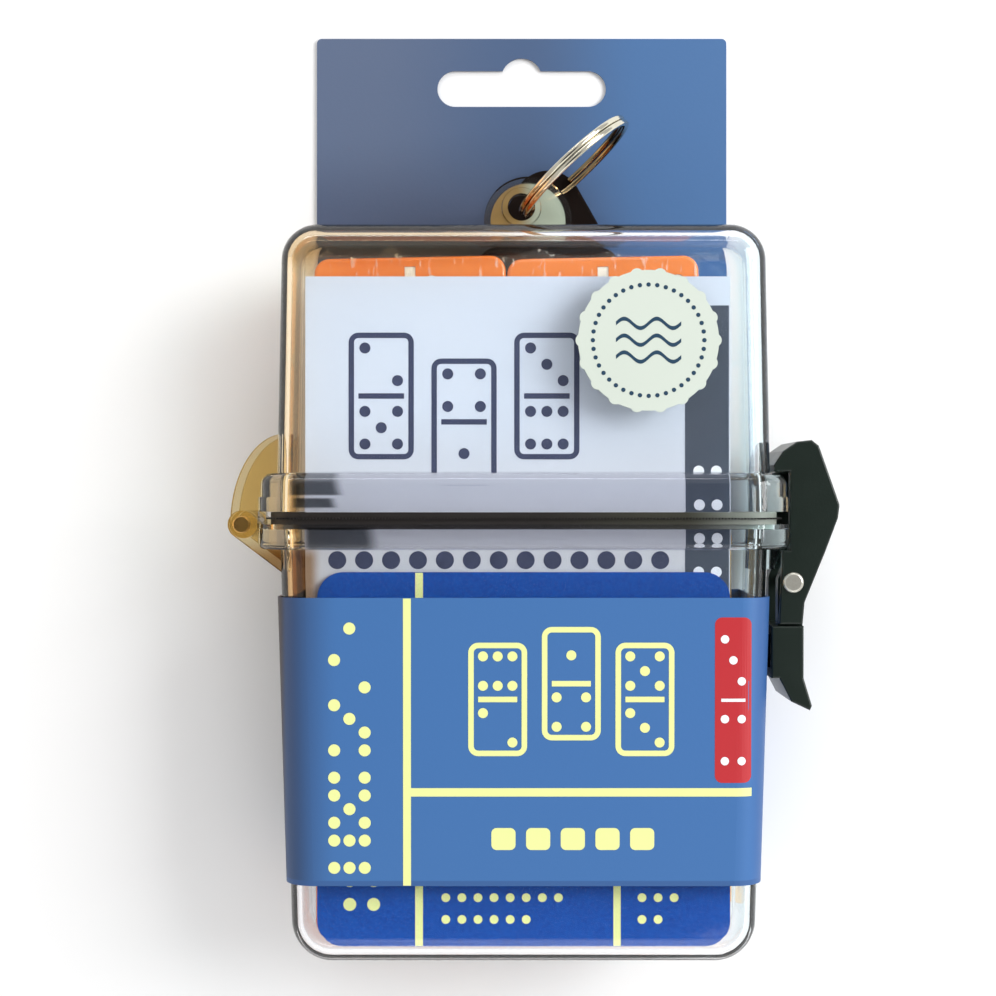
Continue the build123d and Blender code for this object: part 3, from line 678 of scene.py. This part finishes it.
navy_ink = finish("navy_ink", "#363d5c", "#2e3450", 9, 0.45, 0.1, 0.6, 0.01)
tone(navy_ink, "#3b4453", (28, 0, 0), (32, 0, 0))
white_ink = finish("white_ink", "#f0f1f4", "#e6e8ee", 9, 0.45, 0.1, 0.6, 0.01)
cover_low, cover_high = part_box("pad_cover")
cover_tile = (12.6, 24.5, 1.05)
row_left, row_y, row_step, row_count, row_dot = -36, -8.2, 5.2, 13, 1.75
strip_left, strip_right = 31.2, cover_high.x / mm - 0.2
strip_foot, strip_top = cover_low.y / mm + 0.3, 41.0
strip_middle = (strip_left + cover_high.x / mm) / 2
strip_pip_top, strip_pip_step, strip_pip_side, strip_pip = 9, 6.5, 1.7, 1.05
# Each printed tile has its middle, its upper count and its lower count
cover_shapes = []
for x, y, upper, lower in ((-27.5, 23.5, 2, 5), (-11.5, 18.5, 4, 1), (4.5, 23.5, 3, 6)):
    cover_shapes += domino(x, y, *cover_tile, upper, lower)
cover_shapes += [dot(row_left + row_step * i, row_y, row_dot) for i in range(row_count)]
cover_shapes.append(bar(strip_left, strip_foot, strip_right, strip_top))
print_on("cover_print", "pad_cover", cover_shapes, navy_ink, "lid")
strip_pips = []
for i in range(5):
    for dx in (-strip_pip_side, strip_pip_side):
        strip_pips.append(dot(strip_middle + dx, strip_pip_top - strip_pip_step * i, strip_pip))
print_on("strip_print", "pad_cover", strip_pips, white_ink, "lid", second_ink_lift)


# The upper tiles are wrapped in thin shrink film. It is clear, with white creases whose white also
# stands in for the film's highlights as painted glints, and it stands up in small peaks past the
# tiles' edge.
film_low_y = cover_high.y + 0.2 * mm
film_lift = 0.14 * mm
film_thick = 0.03 * mm
film_steps = (150, 14)
film_margin = 1.5 * mm
film_turn_from = 1.0 * mm
film_turn_down = 2.2 * mm
crease_height = 0.1 * mm
# The film stands this far past the tiles, in millimetres, and has peaks: place, half width, height
film_rise = 0.25
film_peaks = ((-26.0, 2.6, 2.1), (-38.5, 1.2, 1.4), (3.0, 5.0, 1.3), (17.0, 3.2, 0.9))


def crease_at(x, y):
    """How far a crease lifts the film at a place in millimetres, from -1 to 1."""
    return math.sin(x * 1.7 + y * 0.9) * math.sin(x * 0.61 - y * 1.3)


def make_film():
    """A creased sheet that lies on the top row's faces and turns down past its edge."""
    rows = []
    for name in tile_names:
        low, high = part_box(name)
        if name in frame["record"]["behaviour"]["bodies"]["lid"]:
            rows.append((high.y, low, high))
    top_row = sorted(rows, key=lambda row: row[0])[-2:]
    left = min(low.x for _, low, _ in top_row)
    right = max(high.x for _, _, high in top_row)
    face_z = max(high.z for _, _, high in top_row)
    work = bmesh.new()
    across, up = film_steps
    grid = []
    for i in range(across + 1):
        x = left + (right - left) * i / across
        edge = max(high.y for _, low, high in top_row if low.x - film_margin <= x <= high.x + film_margin)
        rise = film_rise
        for place, width, height in film_peaks:
            rise += height * max(1 - abs(x / mm - place) / width, 0)
        top = edge + rise * mm
        column = []
        for j in range(up + 1):
            y = film_low_y + (top - film_low_y) * j / up
            lift = film_lift + crease_height * (1 + crease_at(x / mm, y / mm))
            past = max(y - edge + film_turn_from, 0) / (film_turn_from + rise * mm)
            column.append(work.verts.new((x, y, face_z + lift - film_turn_down * past ** 2)))
        grid.append(column)
    for near, far in zip(grid, grid[1:]):
        for j in range(up):
            work.faces.new((near[j], far[j], far[j + 1], near[j + 1]))
    mesh = bpy.data.meshes.new("tile_film")
    work.to_mesh(mesh)
    work.free()
    mesh.shade_smooth()
    mesh.materials.append(shrink_film)
    film = new_piece("tile_film", mesh)
    skin = film.modifiers.new("skin", "SOLIDIFY")
    skin.thickness = film_thick
    return settle(film)


crease_lean = math.radians(58)
crease_stretch = (1, 0.22, 1)
crease_detail = 5
crease_from, crease_full = 0.6, 0.78


def add_creases(material, crease_mm, clear, cloudy):
    """White creases in a clear film, as a mask on its alpha; their white also stands in for painted
    highlights.
    """
    tree = material.node_tree
    place = tree.nodes.new("ShaderNodeTexCoord")
    turn = tree.nodes.new("ShaderNodeMapping")
    turn.inputs["Rotation"].default_value = (0, 0, crease_lean)
    turn.inputs["Scale"].default_value = crease_stretch
    creases = tree.nodes.new("ShaderNodeTexNoise")
    creases.inputs["Scale"].default_value = 1 / (crease_mm * mm)
    creases.inputs["Detail"].default_value = crease_detail
    mask = tree.nodes.new("ShaderNodeMapRange")
    mask.inputs["From Min"].default_value = crease_from
    mask.inputs["From Max"].default_value = crease_full
    mask.inputs["To Min"].default_value = clear
    mask.inputs["To Max"].default_value = cloudy
    tree.links.new(place.outputs["Object"], turn.inputs["Vector"])
    tree.links.new(turn.outputs["Vector"], creases.inputs["Vector"])
    tree.links.new(creases.outputs["Fac"], mask.inputs["Value"])
    tree.links.new(mask.outputs["Result"], tree.nodes["Principled BSDF"].inputs["Alpha"])


shrink_film = finish("shrink_film", "#f6ede2", "#efe3d4", 5, 0.12, 0.05, 1.2, 0.08)
add_creases(shrink_film, 1.2, 0.02, 0.5)
tile_film = make_film()
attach(tile_film, "lid")


# The rules card is a stiff card that stands in front of the tiles in the body. It is printed dark
# blue all over, with two pale lines and rows of pale dots.
rules_blue = finish("rules_blue", "#0058b6", "#002a7a", 0.5, 0.6, 0.15, 0.25, 0.05, Specular_IOR_Level=0.2)
pale_ink = finish("pale_ink", "#e9eda0", "#e2e796", 9, 0.45, 0.1, 0.6, 0.01)
dress(rules_blue, "rules_card")
edge_gap = 0.1
rules_low, rules_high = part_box("rules_card")
rules_foot = rules_low.y / mm + edge_gap
rules_shapes = [
    bar(-20.9, rules_foot, -19.4, rules_high.y / mm - edge_gap),
    bar(17.3, rules_foot, 18.7, -66.0),
]
small_step, small_dot = 3.1, 0.85
for left, y, count in ((-15, -73.2, 8), (-15, -77.4, 6), (22.8, -73.2, 3), (22.8, -77.4, 2)):
    rules_shapes += [dot(left + small_step * i, y, small_dot) for i in range(count)]
corner_x, corner_y, corner_half, corner_dot = -31.2, -72.2, 2.3, 1.25
for column, row in pip_places[4]:
    rules_shapes.append(dot(corner_x + column * corner_half, corner_y + row * corner_half, corner_dot))
print_on("rules_print", "rules_card", rules_shapes, pale_ink, "case")


# The pencil is a thin round of cedar under a yellow lacquer, cut to a point, with a graphite
# lead. It lies loose in the body beside the tiles.
pencil_lacquer = finish("pencil_lacquer", "#d9a441", "#cf9838", 6, 0.3, 0.1, 0.5, 0.02, Coat_Weight=0.5)
graphite = finish("graphite", "#2b2b2e", "#3a3a3e", 2, 0.35, 0.1, 0.3, 0.02, Metallic=0.4)
dress(pencil_lacquer, "pencil_barrel")
dress(graphite, "pencil_lead")


# The latch's lever and claw are moulded in glossy black nylon, and a polished rivet
# with low domed heads joins them.
black_nylon = finish("black_nylon", "#141d18", "#19231e", 10, 0.3, 0.1, 0.5, 0.02, Specular_IOR_Level=0.35)
polished_steel = finish("polished_steel", "#e6e3d8", "#bdb9ab", 0.8, 0.22, 0.1, 0.4, 0.02, Metallic=0.7)
dress(black_nylon, "latch_lever", "latch_claw")
dress(polished_steel, "claw_rivet")


# The black tab behind the eye is a moulded rubber tongue with a matt skin. It is fixed on the
# lid's back and stands up past the roof.
tab_rubber = finish("tab_rubber", "#0d0502", "#120703", 8, 0.65, 0.1, 0.4, 0.02, Specular_IOR_Level=0.1)
dress(tab_rubber, "strap_tab")


# The eye is part of the lid's moulding. A thin cloudy skin lies on its sunk faces and on the boss
# round its hole; its haze and its colour, amber at the left and grey-green at the right, are painted
# reflection.
def lay_reflection_skin(name, level_z, middle, radius, hole, hole_radius, foot_y):
    """A thin cloudy skin in the eye's pocket, open at the hole and cut off at the roof."""
    steps = 72
    offset = hole - middle
    work = bmesh.new()
    for i in range(steps):
        ring_points = []
        for turn in (2 * math.pi * i / steps, 2 * math.pi * (i + 1) / steps):
            way = Vector((math.cos(turn), math.sin(turn)))
            inward = offset.dot(way)
            reach = math.sqrt(max(inward ** 2 - offset.length_squared + radius ** 2, 0)) - inward
            ring_points.append((hole + way * hole_radius, hole + way * reach))
        (near_a, far_a), (near_b, far_b) = ring_points
        work.faces.new([work.verts.new((p.x, p.y, level_z)) for p in (near_a, far_a, far_b, near_b)])
    bmesh.ops.remove_doubles(work, verts=work.verts, dist=0.001 * mm)
    bmesh.ops.bisect_plane(
        work,
        geom=work.verts[:] + work.edges[:] + work.faces[:],
        plane_co=(0, foot_y, 0),
        plane_no=(0, -1, 0),
        clear_outer=True,
    )
    mesh = bpy.data.meshes.new(name)
    work.to_mesh(mesh)
    work.free()
    mesh.materials.append(frosted_skin)
    skin = new_piece(name, mesh)
    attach(skin, "lid")


frosted_skin = finish("frosted_skin", "#a88850", "#8f7440", 3, 0.4, 0.2, 0.6, 0.05, Alpha=0.62)
# Painted reflection: the skin turns grey-green towards the right
tone(frosted_skin, "#a9b3a0", (-1.5, 0, 0), (2.5, 0, 0))
# The eye's pocket, boss and hole, where the lid's mould has them
eye_middle = Vector((1.0, 58.6)) * mm
eye_hole = Vector((-0.3, 61.3)) * mm
eye_inset_radius = 7.4 * mm
eye_boss_radius = 3.95 * mm
lid_middle_z = 19.25 * mm
eye_face_rise = 1.05 * mm
roof_y = 57.2 * mm
boss_face_rise = 1.54 * mm
boss_skin_radius = 3.8 * mm
eye_hole_radius = 2.75 * mm
for side, way in (("front", 1), ("back", -1)):
    pocket_z = lid_middle_z + way * eye_face_rise
    boss_z = lid_middle_z + way * boss_face_rise
    lay_reflection_skin(f"eye_frost_{side}", pocket_z, eye_middle, eye_inset_radius, eye_hole, eye_boss_radius, roof_y)
    lay_reflection_skin(f"boss_frost_{side}", boss_z, eye_hole, boss_skin_radius, eye_hole, eye_hole_radius, roof_y)


# The split ring is nickel-plated spring wire, rolled a little flat and coiled in two turns that
# spring shut on each other. The wire steps across where the ring is split.
nickel = finish("nickel", "#dedac9", "#c9c3b0", 4, 0.13, 0.1, 0.6, 0.006, Metallic=1.0)
# Painted shade darkens the ring's far, lower side, and a painted brassy reflection warms it towards the eye
tone(nickel, "#7d6538", (0, 0, 20), (0, 0, 12), 0.85)
tone(nickel, "#c9924c", (6.4, 67.3, 0), (1.2, 62.6, 0), 0.75)
ring_radius = 13.3 * mm
ring_direction = math.radians(42.0)
ring_lean = math.radians(-2.0)
ring_seat = Vector((eye_hole.x + 0.5 * mm, eye_hole.y - 0.9 * mm, lid_middle_z))
wire_half_depth = 0.6 * mm
wire_half_width = 0.56 * mm
wire_squareness = 0.75
turn_pitch = 1.15 * mm
# In degrees round the ring: where the wire steps across, how long the step is, and the split
ring_step_at, ring_step, ring_split = 112, 30, 40
wire_sides = 16
degrees_a_step = 4
# The wire's cut ends are rounded over a short length
cut_end_length = 0.15 * mm
cut_end_share = 0.6


def wire_reach(share, half):
    """How far the wire's surface lies along one direction; the rolled wire is a little square."""
    return math.copysign(abs(share) ** wire_squareness, share) * half


def make_ring():
    """The ring's one wire, as a tube that follows two turns."""
    reach = Vector((math.cos(ring_direction), math.sin(ring_direction), 0))
    across = Vector((-reach.y, reach.x, 0))
    axis = across * math.cos(ring_lean) + Vector((0, 0, math.sin(ring_lean)))
    down = axis.cross(reach)
    middle = ring_seat + reach * ring_radius
    first = ring_step_at + ring_split / 2 - 360
    last = ring_step_at - ring_split / 2 + 360
    count = round((last - first) / degrees_a_step)
    work = bmesh.new()
    loops = []
    for i in range(-1, count + 2):
        past_end = (i > count) - (i < 0)
        at = first + (last - first) * min(max(i, 0), count) / count
        angle = math.radians(at)
        share = min(max((at - ring_step_at) / ring_step + 0.5, 0), 1)
        shift = turn_pitch * (share * share * (3 - 2 * share) - 0.5)
        out = reach * math.cos(angle) + down * math.sin(angle)
        forward = down * math.cos(angle) - reach * math.sin(angle)
        centre = middle + out * ring_radius + axis * shift + forward * past_end * cut_end_length
        size = cut_end_share if past_end else 1
        loop = []
        for side in range(wire_sides):
            turn = 2 * math.pi * side / wire_sides
            deep = wire_reach(math.cos(turn), wire_half_depth * size)
            wide = wire_reach(math.sin(turn), wire_half_width * size)
            loop.append(work.verts.new(centre + out * deep + axis * wide))
        loops.append(loop)
    for near, far in zip(loops, loops[1:]):
        for side in range(wire_sides):
            after = (side + 1) % wire_sides
            work.faces.new((near[side], near[after], far[after], far[side]))
    work.faces.new(loops[0][::-1])
    work.faces.new(loops[-1])
    bmesh.ops.recalc_face_normals(work, faces=work.faces)
    mesh = bpy.data.meshes.new("spring_ring")
    work.to_mesh(mesh)
    work.free()
    mesh.shade_smooth()
    mesh.materials.append(nickel)
    return new_piece("spring_ring", mesh)


spring_ring = make_ring()
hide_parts("split_ring")
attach(spring_ring, "ring")


# The sleeve is one folded card: a band round the body, and a header behind the lid. It is printed
# mid blue with pale lines and a red label, under a satin varnish. Its folds and its header carry painted
# shade.
sleeve_blue = finish("sleeve_blue", "#3f6da6", "#3c6aa3", 40, 0.45, 0.1, 0.8, 0.02, Specular_IOR_Level=0.35)
# Painted shade darkens the band towards its left fold
tone(sleeve_blue, "#314b74", (-35, 0, 0), (-45, 0, 0))
# Painted shade: a dark brown strip along the left fold's edge
tone(sleeve_blue, "#33261f", (-45.3, 0, 0), (-46.8, 0, 0), 0.9)
# Painted shade: the header lies deeper, in the case's shade, and is painted greyer, greyest at its left and
# at its foot
header = tone(sleeve_blue, "#5a6883", (0, 53, 0), (0, 56, 0))
tone(sleeve_blue, "#495e80", (-32, 0, 0), (2, 0, 0), 1.0, header)
tone(sleeve_blue, "#486d9c", (0, 0, 0), (26, 0, 0), 1.0, header)
header_foot = bound(sleeve_blue, (0, 80, 0), (0, 60, 0), header)
tone(sleeve_blue, "#4b5670", (30, 0, 0), (-15, 0, 0), 0.9, header_foot)
# A darker line runs along the band's lower edge, and painted shade darkens the right fold a little, where it
# turns away
band_top = -15.2
band_foot = -70.1
foot_line = band_foot + 1.1
tone(sleeve_blue, "#35588c", (0, foot_line, 0), (0, foot_line - 0.2, 0), 0.8)
tone(sleeve_blue, "#345b92", (42.5, 0, 0), (46, 0, 0))
dress(sleeve_blue, "card_sleeve")
sleeve_shapes = [
    bar(-23.0, band_foot + edge_gap, -21.5, band_top - edge_gap),
    bar(-21.5, -53.0, 43.4, -51.4),
]
sleeve_tile = (11.2, 21.6, 1.05)
group_x, group_top, group_step, group_dot = -33.2, -21.0, 8.6, 1.15
group_spread = (2.9, 2.6)
block_left, block_foot, block_step, block_corner = -6.2, -63.2, 6.6, 1.0
block_size = (4.6, 4.2)
for x, y, upper, lower in ((-5.0, -34.5, 6, 2), (9.0, -31.5, 1, 4), (23.0, -34.5, 5, 3)):
    sleeve_shapes += domino(x, y, *sleeve_tile, upper, lower)
for i in range(6):
    for column, row in pip_places[i + 1]:
        x = group_x + column * group_spread[0]
        y = group_top - group_step * i + row * group_spread[1]
        sleeve_shapes.append(dot(x, y, group_dot))
for i in range(5):
    left = block_left + block_step * i
    right, top = left + block_size[0], block_foot + block_size[1]
    sleeve_shapes.append(bar(left, block_foot, right, top, block_corner))
print_on("sleeve_print", "card_sleeve", sleeve_shapes, pale_ink, "sleeve")
red_ink = finish("red_ink", "#ba262e", "#b4232a", 9, 0.42, 0.1, 0.6, 0.01)
label = (36.3, -50.4, 43.3, -18.9)
label_corner = 1.4
label_x = (label[0] + label[2]) / 2
label_y = (label[1] + label[3]) / 2
label_half = 7.6
label_spread = (1.6, 4)
label_dot = 0.8
label_bar_inset, label_bar_half = 1.2, 0.3
print_on("label_print", "card_sleeve", [bar(*label, label_corner)], red_ink, "sleeve")
left, right = label[0] + label_bar_inset, label[2] - label_bar_inset
label_pips = [bar(left, label_y - label_bar_half, right, label_y + label_bar_half)]
for middle_y, count in ((label_y + label_half, 3), (label_y - label_half, 4)):
    for column, row in pip_places[count]:
        x = label_x + column * label_spread[0]
        y = middle_y + row * label_spread[1]
        label_pips.append(dot(x, y, label_dot))
print_on("label_pips", "card_sleeve", label_pips, white_ink, "sleeve", second_ink_lift)


# The sticker is a die-cut scalloped round of cream film on the lid's front. It is printed in
# dark teal with a ring of dots and three waves.
sticker_film = finish("sticker_film", "#d0d8cd", "#cad2c7", 12, 0.35, 0.1, 0.8, 0.01)
teal_ink = finish("teal_ink", "#1d3f58", "#1a3a52", 6, 0.4, 0.1, 0.5, 0.01)
dress(sticker_film, "round_sticker")
sticker_low, sticker_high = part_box("round_sticker")
sticker_middle = tuple((sticker_low + sticker_high) / 2 / mm)[:2]
dot_ring = 10.6
dot_count = 40
dot_radius, dot_sides = 0.42, 14
sticker_shapes = []
for i in range(dot_count):
    angle = 2 * math.pi * i / dot_count
    x = sticker_middle[0] + dot_ring * math.cos(angle)
    y = sticker_middle[1] + dot_ring * math.sin(angle)
    sticker_shapes.append(dot(x, y, dot_radius, dot_sides))
wave_half, wave_rise, wave_line, wave_steps = 6.2, 0.9, 0.75, 48
wave_gap = 3.2
for lift in (-wave_gap, 0, wave_gap):
    for i in range(wave_steps):
        lower, upper = [], []
        for step in (i, i + 1):
            along = -wave_half + 2 * wave_half * step / wave_steps
            x = sticker_middle[0] + along
            y = sticker_middle[1] + lift + wave_rise * math.sin(along * 2 * math.pi / wave_half)
            lower.append((x, y - wave_line / 2))
            upper.append((x, y + wave_line / 2))
        sticker_shapes.append((lower + upper[::-1], None))
print_on("sticker_print", "round_sticker", sticker_shapes, teal_ink, "lid")


# The set lies on a white table, lit softly from the right, and the camera looks straight
# down at it.
table = new_piece("table", bpy.data.meshes.new("table"))
table_half = 2.0
table_drop = 0.2 * mm
table_corners = ((-1, -1), (1, -1), (1, 1), (-1, 1))
table.data.from_pydata([(x * table_half, y * table_half, 0) for x, y in table_corners], [], [(0, 1, 2, 3)])
table.location.z = -table_drop
table.data.materials.append(finish("table_white", "#f6f6f6", "#f4f4f4", 300, 0.8, 0.02, 5, 0.01))
# How bright the room is, and its ceiling, between two heights of a ray that leaves the set
room_light, ceiling_light = 0.7, 0.04
ceiling_from, ceiling_full = 0.92, 0.965


def make_studio_world():
    """A bright room whose ceiling is dark straight above, so flat faces stay free of glare."""
    world = bpy.data.worlds.new("studio")
    world.use_nodes = True
    tree = world.node_tree
    place = tree.nodes.new("ShaderNodeTexCoord")
    split = tree.nodes.new("ShaderNodeSeparateXYZ")
    height = tree.nodes.new("ShaderNodeMapRange")
    height.interpolation_type = "SMOOTHSTEP"
    height.inputs["From Min"].default_value = ceiling_from
    height.inputs["From Max"].default_value = ceiling_full
    height.inputs["To Min"].default_value = room_light
    height.inputs["To Max"].default_value = ceiling_light
    background = tree.nodes["Background"]
    background.inputs["Color"].default_value = (0.97, 0.98, 1.0, 1)
    tree.links.new(place.outputs["Generated"], split.inputs["Vector"])
    tree.links.new(split.outputs["Z"], height.inputs["Value"])
    tree.links.new(height.outputs["Result"], background.inputs["Strength"])
    return world


bpy.context.scene.world = make_studio_world()


def softbox(name, place, width, height, power, colour):
    """A flat light that faces the set; sizes in metres, power in watts."""
    light = bpy.data.lights.new(name, "AREA")
    light.shape = "RECTANGLE"
    light.size = width
    light.size_y = height
    light.energy = power
    light.color = colour
    lamp = bpy.data.objects.new(name, light)
    lamp.location = place
    lamp.rotation_euler = (Vector((0, 0, 0)) - Vector(place)).to_track_quat("-Z", "Y").to_euler()
    bpy.context.scene.collection.objects.link(lamp)


softbox("window", (0.75, 0.25, 0.6), 0.5, 0.5, 7.7, (0.99, 1.0, 1.0))
softbox("fill", (0.25, -0.6, 0.8), 0.7, 0.7, 1.1, (1.0, 1.0, 1.0))
softbox("warm_card", (-0.45, 0.02, 0.12), 0.2, 0.2, 0.2, (1.0, 0.62, 0.22))
softbox("roof_light", (-0.05, 0.7, 0.4), 0.8, 0.08, 1.4, (1.0, 1.0, 1.0))
softbox("foot_light", (-0.05, -0.7, 0.3), 0.8, 0.08, 0.8, (0.94, 0.98, 1.0))

# The photo shows 0.19 mm a pixel on the case's front, over its 996 pixels
camera_axis = (-4.94 * mm, 3.8 * mm)
front_level = 34.3 * mm
camera_height = 340 * mm
photo_pixels = 996
pixel_size = 0.19 * mm
photo_width_there = photo_pixels * pixel_size
camera_data = bpy.data.cameras.new("camera")
camera_data.sensor_width = 36
camera_data.lens = camera_data.sensor_width * camera_height / photo_width_there
camera = bpy.data.objects.new("camera", camera_data)
camera.location = (*camera_axis, front_level + camera_height)
bpy.context.scene.collection.objects.link(camera)
bpy.context.scene.camera = camera
bpy.context.scene.view_settings.view_transform = "Standard"
